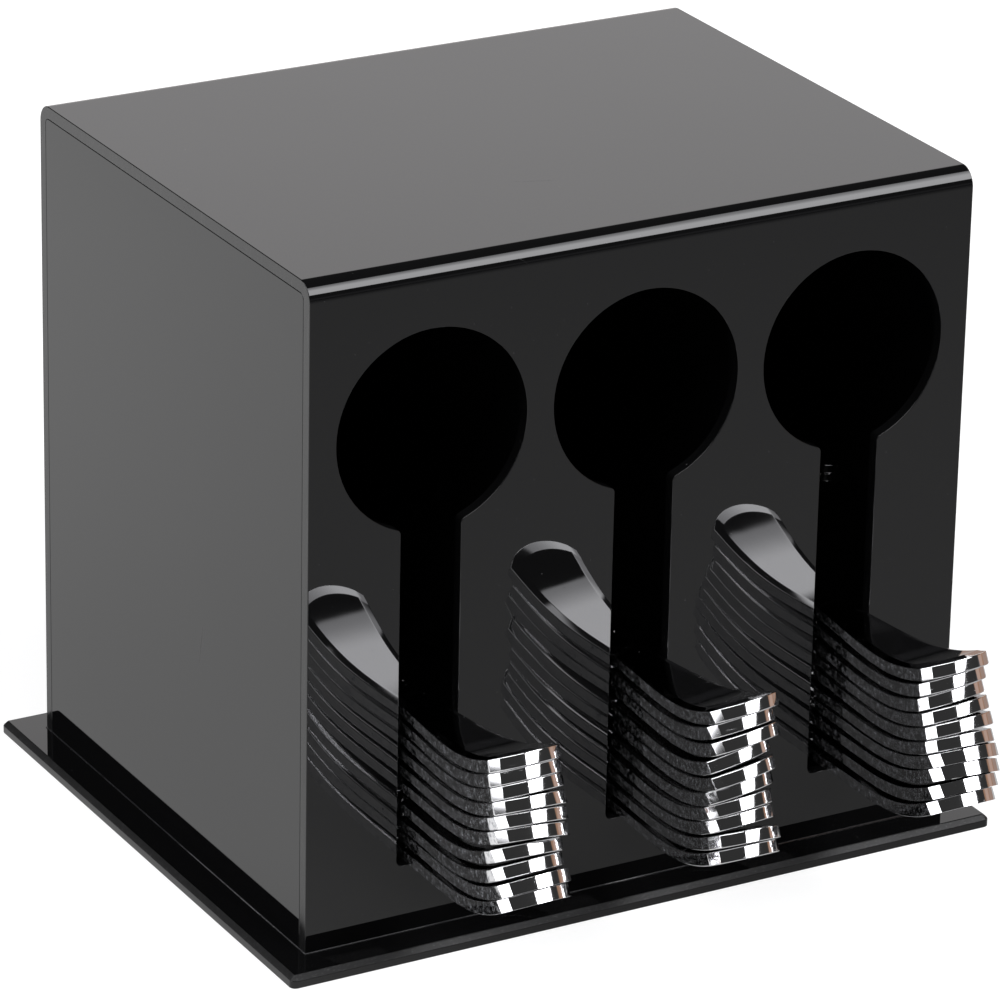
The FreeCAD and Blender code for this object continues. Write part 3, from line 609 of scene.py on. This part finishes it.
# %% [markdown]
# The neck and the head stay as the solid has them. They are cut off at the join, the cut is
# closed, and the drawn handle is added. Only sharp edges are rounded: each gets a weight, which
# the Bevel modifier reads. On the drawn handle even the shallow edge of the pad counts. An edge
# that touches the join gets none, because the join has to stay hidden inside the box.

# %% Cutlery with drawn handles
CUTLERY_EDGE = 0.5 * MM
PAD_EDGE_SHARE = 0.4
PAD_SHARP = math.radians(8)
WALL_SHARP = math.radians(25)
CUT_TOLERANCE = 0.001 * MM
JOIN_TOLERANCE = 0.01 * MM


def cutlery_mesh(name):
    mesh = bpy.data.meshes.new(name + "_skin")
    work = bmesh.new()
    work.from_mesh(frame["nodes"][name].data)
    join_triangles(work)
    everything = work.verts[:] + work.edges[:] + work.faces[:]
    cut = bmesh.ops.bisect_plane(work, geom=everything, dist=CUT_TOLERANCE,
                                 plane_co=(0, JOIN_Y, 0), plane_no=(0, 1, 0), clear_inner=True)
    rim = [part for part in cut["geom_cut"] if isinstance(part, bmesh.types.BMEdge)]
    bmesh.ops.edgeloop_fill(work, edges=rim)
    bmesh.ops.recalc_face_normals(work, faces=work.faces)
    weight = work.edges.layers.float.new("bevel_weight_edge")
    head_edges = set(work.edges)
    draw_handle(measure_handle(name), work)
    for edge in work.edges:
        at_join = any(abs(vertex.co.y - JOIN_Y) < JOIN_TOLERANCE for vertex in edge.verts)
        if at_join or len(edge.link_faces) != 2:
            continue
        if edge.calc_face_angle() > WALL_SHARP:
            edge[weight] = 1.0
        elif edge.calc_face_angle() > PAD_SHARP and edge not in head_edges:
            edge[weight] = PAD_EDGE_SHARE
    work.to_mesh(mesh)
    work.free()
    return mesh


cutlery_skins = {name: rounded(name, cutlery_mesh(name), CUTLERY_EDGE, 3, limit_method="WEIGHT")
                 for name in PIECES}
triangles = sum(len(face.vertices) - 2 for piece in cutlery_skins.values()
                for face in piece.data.polygons)
print("pieces of cutlery:", len(cutlery_skins), "with", triangles, "triangles")

# %% [markdown]
# Dust, faint scratches and a slow waviness show on the acrylic and on the cutlery alike. Each is
# a shader node group that is built once and placed in a material with its own values. All of
# them read Object coordinates, so the pattern stays on the piece.

# %% Shared effects as node groups
def new_group(name, inputs, outputs):
    """A shader node group; inputs and outputs are short lists of (name, type, value)."""
    group = bpy.data.node_groups.new(name, "ShaderNodeTree")
    for title, kind, value in inputs:
        socket = group.interface.new_socket(title, in_out="INPUT", socket_type=kind)
        if value is not None:
            socket.default_value = value
    for title, kind in outputs:
        group.interface.new_socket(title, in_out="OUTPUT", socket_type=kind)
    entry = node(group, "NodeGroupInput", (-1100, 0))
    leave = node(group, "NodeGroupOutput", (500, 0))
    return group, entry, leave


def make_dust():
    """Small round specks; Mask is 1 on a speck."""
    group, entry, leave = new_group(
        "dust",
        [("Vector", "NodeSocketVector", None), ("Scale", "NodeSocketFloat", 400.0),
         ("Size", "NodeSocketFloat", 0.12), ("Amount", "NodeSocketFloat", 0.5)],
        [("Mask", "NodeSocketFloat")])
    cells = node(group, "ShaderNodeTexVoronoi", (-700, 100), feature="F1")
    link(group, entry.outputs["Vector"], cells.inputs["Vector"])
    link(group, entry.outputs["Scale"], cells.inputs["Scale"])
    cells.inputs["Randomness"].default_value = 1.0
    chance = node(group, "ShaderNodeSeparateColor", (-500, -100))
    link(group, cells.outputs["Color"], chance.inputs[0])
    kept = maths(group, "LESS_THAN", chance.outputs[0], 0.5, (-300, -100))
    link(group, entry.outputs["Amount"], kept.node.inputs[1])
    own_size = maths(group, "MULTIPLY", chance.outputs[1], 0.5, (-300, -300))
    link(group, entry.outputs["Size"], own_size.node.inputs[1])
    fade = node(group, "ShaderNodeMapRange", (-100, 100), interpolation_type="SMOOTHSTEP",
                From_Min=0.0, To_Min=1.0, To_Max=0.0)
    link(group, cells.outputs["Distance"], fade.inputs["Value"])
    link(group, own_size, fade.inputs["From Max"])
    mask = maths(group, "MULTIPLY", fade.outputs["Result"], kept, (200, 0))
    link(group, mask, leave.inputs["Mask"])
    return group


def make_scratches():
    """Long hairlines in one direction; Mask is 1 on a line."""
    group, entry, leave = new_group(
        "hairline_scratches",
        [("Vector", "NodeSocketVector", None), ("Turn", "NodeSocketVector", None),
         ("Stretch", "NodeSocketVector", (20.0, 900.0, 20.0)), ("Cover", "NodeSocketFloat", 0.1)],
        [("Mask", "NodeSocketFloat")])
    turned = node(group, "ShaderNodeVectorRotate", (-900, 0), rotation_type="EULER_XYZ")
    link(group, entry.outputs["Vector"], turned.inputs["Vector"])
    link(group, entry.outputs["Turn"], turned.inputs["Rotation"])
    stretched = node(group, "ShaderNodeVectorMath", (-700, 0), operation="MULTIPLY")
    link(group, turned.outputs[0], stretched.inputs[0])
    link(group, entry.outputs["Stretch"], stretched.inputs[1])
    streaks = node(group, "ShaderNodeTexNoise", (-500, 0), Scale=1.0, Detail=2.0, Roughness=0.6)
    link(group, stretched.outputs[0], streaks.inputs["Vector"])
    start = maths(group, "SUBTRACT", 0.78, 0.0, (-500, -250))
    link(group, entry.outputs["Cover"], start.node.inputs[1])
    fade = node(group, "ShaderNodeMapRange", (-200, 0), interpolation_type="SMOOTHSTEP",
                From_Max=0.8)
    link(group, streaks.outputs[0], fade.inputs["Value"])
    link(group, start, fade.inputs["From Min"])
    link(group, fade.outputs["Result"], leave.inputs["Mask"])
    return group


def make_waviness():
    """The slow unevenness of a cast sheet or a moulded face; Height is in metres."""
    group, entry, leave = new_group(
        "slow_waviness",
        [("Vector", "NodeSocketVector", None), ("Scale", "NodeSocketFloat", 12.0),
         ("Depth", "NodeSocketFloat", 0.00002)],
        [("Height", "NodeSocketFloat")])
    waves = node(group, "ShaderNodeTexNoise", (-600, 0), Detail=1.0, Roughness=0.4)
    link(group, entry.outputs["Vector"], waves.inputs["Vector"])
    link(group, entry.outputs["Scale"], waves.inputs["Scale"])
    height = maths(group, "MULTIPLY", waves.outputs[0], 1.0, (-300, 0))
    link(group, entry.outputs["Depth"], height.node.inputs[1])
    link(group, height, leave.inputs["Height"])
    return group


DUST = make_dust()
SCRATCHES = make_scratches()
WAVINESS = make_waviness()
print("groups:", DUST.name, SCRATCHES.name, WAVINESS.name)

# %% [markdown]
# The materials have the same few steps in common, so each step is a small helper: it places a
# group, starts a Principled material, mixes two colours, turns a mask into a range of values, or
# turns a height into a bump. Shaders stay in the material itself.

# %% Small helpers for materials
def coordinates(tree):
    """The Object coordinates of a material; the node is shared by all that read it."""
    found = tree.nodes.get("object_coordinates")
    if found is None:
        found = node(tree, "ShaderNodeTexCoord", (-1500, 0))
        found.name = "object_coordinates"
    return found.outputs["Object"]


def placed(tree, group, place, **values):
    """Places a node group in a tree, with its own values, on Object coordinates."""
    made = node(tree, "ShaderNodeGroup", place)
    made.node_tree = group
    for name, value in values.items():
        made.inputs[name].default_value = value
    link(tree, coordinates(tree), made.inputs["Vector"])
    return made


def new_material(name, **values):
    """A Principled material with constant values on its own sockets."""
    material = bpy.data.materials.new(name)
    material.use_nodes = True
    shader = material.node_tree.nodes["Principled BSDF"]
    for key, value in values.items():
        shader.inputs[key.replace("_", " ")].default_value = value
    return material, material.node_tree, shader


def mixed(tree, mask, first, second, place):
    """Mixes two colours or grey levels by a mask."""
    made = node(tree, "ShaderNodeMix", place, data_type="RGBA")
    for socket, value in ((made.inputs["A"], first), (made.inputs["B"], second)):
        if isinstance(value, tuple):
            socket.default_value = (*value, 1)
        else:
            link(tree, value, socket)
    link(tree, mask, made.inputs["Factor"])
    return made.outputs["Result"]


def ranged(tree, value, low, high, place):
    """Turns a mask of 0 to 1 into a value between low and high."""
    made = node(tree, "ShaderNodeMapRange", place, To_Min=low, To_Max=high)
    link(tree, value, made.inputs["Value"])
    return made.outputs["Result"]


def bumped(tree, shader, height, place):
    """Feeds a height in metres to the shader's normal."""
    bump = node(tree, "ShaderNodeBump", place, Strength=1.0, Distance=1.0)
    link(tree, height, bump.inputs["Height"])
    link(tree, bump.outputs["Normal"], shader.inputs["Normal"])


print("material helpers ready")

# %% [markdown]
# Cast acrylic is black through and through and polished like glass. What shows is the room
# mirrored in it, a little uneven where the sheet was heated and bent, with a few specks of dust.

# %% Polished black acrylic
ACRYLIC_IOR = 1.49
BLACK = (0.0035, 0.0035, 0.003675)
DUST_GREY = (0.10, 0.10, 0.10)


def make_acrylic():
    material, tree, shader = new_material("polished_black_acrylic", IOR=ACRYLIC_IOR)
    specks = placed(tree, DUST, (-900, 200), Scale=260.0, Size=0.10, Amount=0.10)
    fine = placed(tree, DUST, (-900, -50), Scale=900.0, Size=0.16, Amount=0.06)
    lines = placed(tree, SCRATCHES, (-900, -300), Turn=(0.3, 0.9, 0.6), Cover=0.02)
    waves = placed(tree, WAVINESS, (-900, -600), Scale=9.0, Depth=0.00012)
    dusty = maths(tree, "MAXIMUM", specks.outputs["Mask"], fine.outputs["Mask"], (-650, 100))
    colour = mixed(tree, dusty, BLACK, DUST_GREY, (-350, 250))
    link(tree, colour, shader.inputs["Base Color"])
    marks = maths(tree, "MAXIMUM", dusty, lines.outputs["Mask"], (-500, -150))
    link(tree, ranged(tree, marks, 0.015, 0.35, (-350, 0)), shader.inputs["Roughness"])
    bumped(tree, shader, waves.outputs["Height"], (-350, -400))
    return material


polished = make_acrylic()
print("made", polished.name)

# %% [markdown]
# Where the sheet was cut by a saw and only scraped smooth, its edge is satin and a little grey.
# Those faces lie on the two ends of the bent cover. The ground bevel of the plate is duller
# still. Both have fine lines along the cut, so one function makes them with different values.

# %% Scraped edge of the sheet
CUT_BLACK = (0.012, 0.012, 0.012)
CUT_GREY = (0.05, 0.05, 0.05)


def make_cut_edge(title, rough, reflecting):
    """rough is the lowest and the highest roughness of the cut."""
    material, tree, shader = new_material(title, IOR=ACRYLIC_IOR, Specular_IOR_Level=reflecting)
    lines = placed(tree, SCRATCHES, (-900, 0), Turn=(0.0, 0.0, 0.0),
                   Stretch=(900.0, 2500.0, 60.0), Cover=0.25)
    patches = node(tree, "ShaderNodeTexNoise", (-900, -300), Scale=90.0, Detail=3.0)
    link(tree, coordinates(tree), patches.inputs["Vector"])
    colour = mixed(tree, lines.outputs["Mask"], CUT_BLACK, CUT_GREY, (-350, 200))
    link(tree, colour, shader.inputs["Base Color"])
    link(tree, ranged(tree, patches.outputs[0], *rough, (-350, 0)), shader.inputs["Roughness"])
    return material


cut_edge = make_cut_edge("scraped_acrylic_edge", (0.10, 0.30), 0.5)
plate_bevel = make_cut_edge("ground_acrylic_bevel", (0.34, 0.48), 0.22)
print("made", cut_edge.name, "and", plate_bevel.name)

# %% [markdown]
# The cutlery is plastic with a thin mirror coat of metal. The coat shows faint scratches, smears
# from handling and pale dust. On faces that look to the left or right it is mottled, darker and
# duller: a random mottle that carries painted shade, picked by the way the faces turn.

# %% Metallised plastic
BRIGHT_METAL = (0.90, 0.90, 0.91)
# Grey of the dust specks, also used as painted shade on the sideways faces.
DUST_AND_SIDE_SHADE_METAL = (0.55, 0.56, 0.60)


def side_faces(tree):
    """1 on faces that look to the left or right, 0 on all others."""
    facing = node(tree, "ShaderNodeTexCoord", (-1500, -300))
    parts = node(tree, "ShaderNodeSeparateXYZ", (-1300, -300))
    link(tree, facing.outputs["Normal"], parts.inputs[0])
    sideways = maths(tree, "ABSOLUTE", parts.outputs["X"], None, (-1150, -300))
    return smooth_step(tree, sideways, 0.80, 0.95, (-1000, -300))


def make_metallised():
    material, tree, shader = new_material("metallised_plastic")
    specks = placed(tree, DUST, (-1000, 300), Scale=420.0, Size=0.14, Amount=0.22)
    lines = placed(tree, SCRATCHES, (-1000, 0), Turn=(0.1, 0.2, 0.5),
                   Stretch=(30.0, 700.0, 700.0), Cover=0.12)
    cross = placed(tree, SCRATCHES, (-1000, -600), Turn=(0.4, 0.1, 1.9),
                   Stretch=(40.0, 900.0, 500.0), Cover=0.06)
    waves = placed(tree, WAVINESS, (-1000, -850), Scale=60.0, Depth=0.00006)
    smears = node(tree, "ShaderNodeTexNoise", (-1000, -1100), Scale=55.0, Detail=4.0,
                  Roughness=0.6)
    link(tree, coordinates(tree), smears.inputs["Vector"])
    mottle = node(tree, "ShaderNodeTexNoise", (-1000, -1350), Scale=650.0, Detail=5.0,
                  Roughness=0.7)
    link(tree, coordinates(tree), mottle.inputs["Vector"])
    patches = smooth_step(tree, mottle.outputs[0], 0.42, 0.72, (-800, -1350))
    # Painted shade: the mottle is kept only on sideways faces, where it darkens the coat.
    side_shade_mottle = maths(tree, "MULTIPLY", patches, side_faces(tree), (-600, -1350))
    hair = maths(tree, "MAXIMUM", lines.outputs["Mask"], cross.outputs["Mask"], (-700, -100))
    marks = maths(tree, "MAXIMUM", specks.outputs["Mask"], hair, (-550, 0))
    # dusty carries the real dust specks and the painted shade of the sideways faces.
    dusty = maths(tree, "MAXIMUM", specks.outputs["Mask"], side_shade_mottle, (-550, 200))
    colour = mixed(tree, dusty, BRIGHT_METAL, DUST_AND_SIDE_SHADE_METAL, (-350, 250))
    link(tree, colour, shader.inputs["Base Color"])
    link(tree, ranged(tree, dusty, 1.0, 0.80, (-350, 50)), shader.inputs["Metallic"])
    clean = ranged(tree, smears.outputs[0], 0.02, 0.10, (-550, -300))
    scratched = ranged(tree, marks, 0.0, 0.32, (-400, -100))
    matt = ranged(tree, side_shade_mottle, 0.0, 0.30, (-400, -300))
    rough = maths(tree, "MAXIMUM", clean, scratched, (-200, -200))
    rough = maths(tree, "MAXIMUM", rough, matt, (-100, -250))
    link(tree, rough, shader.inputs["Roughness"])
    bumped(tree, shader, waves.outputs["Height"], (-350, -500))
    return material


metallised = make_metallised()
print("made", metallised.name)

# %% [markdown]
# The box is cemented to its plate. A thin bead of clear cement has run out along its foot, with
# small bubbles in it. The bead follows a rectangle and the bubbles repeat along it, so Geometry
# Nodes make both: a circle is swept along the path, and small spheres are set on points of it.
# The tree ends in Realize Instances and Set Material, because the result is baked to one mesh.

# %% Cement along the foot of the box
BEAD_RADIUS = 0.35 * MM
BUBBLE_RADIUS = 0.16 * MM
BUBBLE_SPACING = 5.0 * MM
BUBBLE_SCATTER = 0.30 * MM
BUBBLE_SIZES = (0.4, 1.3)
BUBBLE_SEED = 7
CEMENT_BLACK = (0.004, 0.004, 0.004)
CEMENT_GREY = (0.035, 0.035, 0.037)


def enabled(sockets, name):
    """The socket of that name that is in use; some nodes have several of one name."""
    return next(socket for socket in sockets if socket.enabled and socket.name == name)


def make_bead_tree(material):
    tree = bpy.data.node_groups.new("cement_bead", "GeometryNodeTree")
    tree.is_modifier = True
    for title, kind, value in (("Width", "NodeSocketFloat", 0.2),
                               ("Depth", "NodeSocketFloat", 0.2),
                               ("Centre", "NodeSocketVector", (0, 0, 0)),
                               ("Bead Radius", "NodeSocketFloat", BEAD_RADIUS),
                               ("Bubble Spacing", "NodeSocketFloat", BUBBLE_SPACING),
                               ("Seed", "NodeSocketInt", BUBBLE_SEED)):
        socket = tree.interface.new_socket(title, in_out="INPUT", socket_type=kind)
        socket.default_value = value
    tree.interface.new_socket("Geometry", in_out="OUTPUT", socket_type="NodeSocketGeometry")
    entry = node(tree, "NodeGroupInput", (-1200, 0))
    path = node(tree, "GeometryNodeCurvePrimitiveQuadrilateral", (-1000, 0))
    link(tree, entry.outputs["Width"], path.inputs["Width"])
    link(tree, entry.outputs["Depth"], path.inputs["Height"])
    moved = node(tree, "GeometryNodeTransform", (-800, 0))
    link(tree, path.outputs["Curve"], moved.inputs["Geometry"])
    link(tree, entry.outputs["Centre"], moved.inputs["Translation"])
    profile = node(tree, "GeometryNodeCurvePrimitiveCircle", (-800, -250), Resolution=12)
    link(tree, entry.outputs["Bead Radius"], enabled(profile.inputs, "Radius"))
    bead = node(tree, "GeometryNodeCurveToMesh", (-550, 0))
    link(tree, moved.outputs["Geometry"], bead.inputs["Curve"])
    link(tree, profile.outputs["Curve"], bead.inputs["Profile Curve"])
    points = node(tree, "GeometryNodeCurveToPoints", (-550, -300), mode="LENGTH")
    link(tree, moved.outputs["Geometry"], points.inputs["Curve"])
    link(tree, entry.outputs["Bubble Spacing"], enabled(points.inputs, "Length"))
    scatter = node(tree, "FunctionNodeRandomValue", (-550, -600), data_type="FLOAT_VECTOR")
    enabled(scatter.inputs, "Min").default_value = (-BUBBLE_SCATTER, -BUBBLE_SCATTER, 0)
    enabled(scatter.inputs, "Max").default_value = (BUBBLE_SCATTER,) * 3
    link(tree, entry.outputs["Seed"], enabled(scatter.inputs, "Seed"))
    shifted = node(tree, "GeometryNodeSetPosition", (-300, -300))
    link(tree, points.outputs["Points"], shifted.inputs["Geometry"])
    link(tree, enabled(scatter.outputs, "Value"), shifted.inputs["Offset"])
    ball = node(tree, "GeometryNodeMeshIcoSphere", (-300, -600), Radius=BUBBLE_RADIUS,
                Subdivisions=2)
    sizes = node(tree, "FunctionNodeRandomValue", (-300, -800), data_type="FLOAT")
    enabled(sizes.inputs, "Min").default_value = BUBBLE_SIZES[0]
    enabled(sizes.inputs, "Max").default_value = BUBBLE_SIZES[1]
    link(tree, entry.outputs["Seed"], enabled(sizes.inputs, "Seed"))
    bubbles = node(tree, "GeometryNodeInstanceOnPoints", (-50, -300))
    link(tree, shifted.outputs["Geometry"], bubbles.inputs["Points"])
    link(tree, ball.outputs["Mesh"], bubbles.inputs["Instance"])
    link(tree, enabled(sizes.outputs, "Value"), bubbles.inputs["Scale"])
    both = node(tree, "GeometryNodeJoinGeometry", (150, 0))
    link(tree, bead.outputs["Mesh"], both.inputs["Geometry"])
    link(tree, bubbles.outputs["Instances"], both.inputs["Geometry"])
    real = node(tree, "GeometryNodeRealizeInstances", (350, 0))
    link(tree, both.outputs["Geometry"], real.inputs["Geometry"])
    smooth = node(tree, "GeometryNodeSetShadeSmooth", (550, 0))
    link(tree, real.outputs["Geometry"], smooth.inputs["Geometry"])
    coated = node(tree, "GeometryNodeSetMaterial", (750, 0), Material=material)
    link(tree, smooth.outputs["Geometry"], coated.inputs["Geometry"])
    leave = node(tree, "NodeGroupOutput", (950, 0))
    link(tree, coated.outputs["Geometry"], leave.inputs["Geometry"])
    return tree


def make_cement():
    material, tree, shader = new_material("clear_cement_over_black", Roughness=0.12, IOR=1.45)
    cloud = node(tree, "ShaderNodeTexNoise", (-700, 0), Scale=260.0, Detail=3.0)
    link(tree, coordinates(tree), cloud.inputs["Vector"])
    colour = mixed(tree, cloud.outputs[0], CEMENT_BLACK, CEMENT_GREY, (-350, 200))
    link(tree, colour, shader.inputs["Base Color"])
    uneven = placed(tree, WAVINESS, (-700, -300), Scale=350.0, Depth=0.0002)
    bumped(tree, shader, uneven.outputs["Height"], (-350, -300))
    return material


def make_bead():
    """Bakes the tree to a plain mesh, which then rides with the box."""
    tree = make_bead_tree(make_cement())
    holder = bpy.data.objects.new("cement_bead", bpy.data.meshes.new("cement_bead"))
    bpy.context.scene.collection.objects.link(holder)
    modifier = holder.modifiers.new("cement_bead", "NODES")
    modifier.node_group = tree
    middle = (box_low + box_high) / 2
    values = {"Width": box_high.x - box_low.x, "Depth": box_high.y - box_low.y,
              "Centre": (middle.x, middle.y, PLATE_TOP)}
    for socket in tree.interface.items_tree:
        if socket.name in values:
            modifier[socket.identifier] = values[socket.name]
    graph = bpy.context.evaluated_depsgraph_get()
    holder_mesh = bpy.data.meshes.new_from_object(holder.evaluated_get(graph))
    holder.modifiers.clear()
    holder.data = holder_mesh
    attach(holder, BODY_OF["base_plate"])
    return holder


bead = make_bead()
print("cement bead with", len(bead.data.polygons), "faces")

# %% [markdown]
# Each skin gets its finish. On the cover, the faces that look straight to the left or right at
# its two ends are the cut edge of the sheet. On the plate, the faces that lean are the ground
# bevel. All others are polished.

# %% Give the finishes
EDGE_FACES = 0.98
END_TOLERANCE = 0.02 * MM
BEVEL_LEAN = (0.5, 0.9)


def finish_sheet(piece, name):
    piece.data.materials.append(polished)
    if name == "cover":
        piece.data.materials.append(cut_edge)
        for face in piece.data.polygons:
            at_end = abs(face.center.x) > HALF_BOX - END_TOLERANCE
            if at_end and abs(face.normal.x) > EDGE_FACES:
                face.material_index = 1
    if name == "base_plate":
        piece.data.materials.append(plate_bevel)
        for face in piece.data.polygons:
            if BEVEL_LEAN[0] < face.normal.z < BEVEL_LEAN[1]:
                face.material_index = 1


for name, piece in box_skins.items():
    finish_sheet(piece, name)
for name, piece in cutlery_skins.items():
    piece.data.materials.append(metallised)
print("finished", len(box_skins) + len(cutlery_skins), "skins")

# %% [markdown]
# The picture is shown as it is lit, without a filmic curve, so white stays white.

# %% View transform
bpy.context.scene.view_settings.view_transform = "Standard"
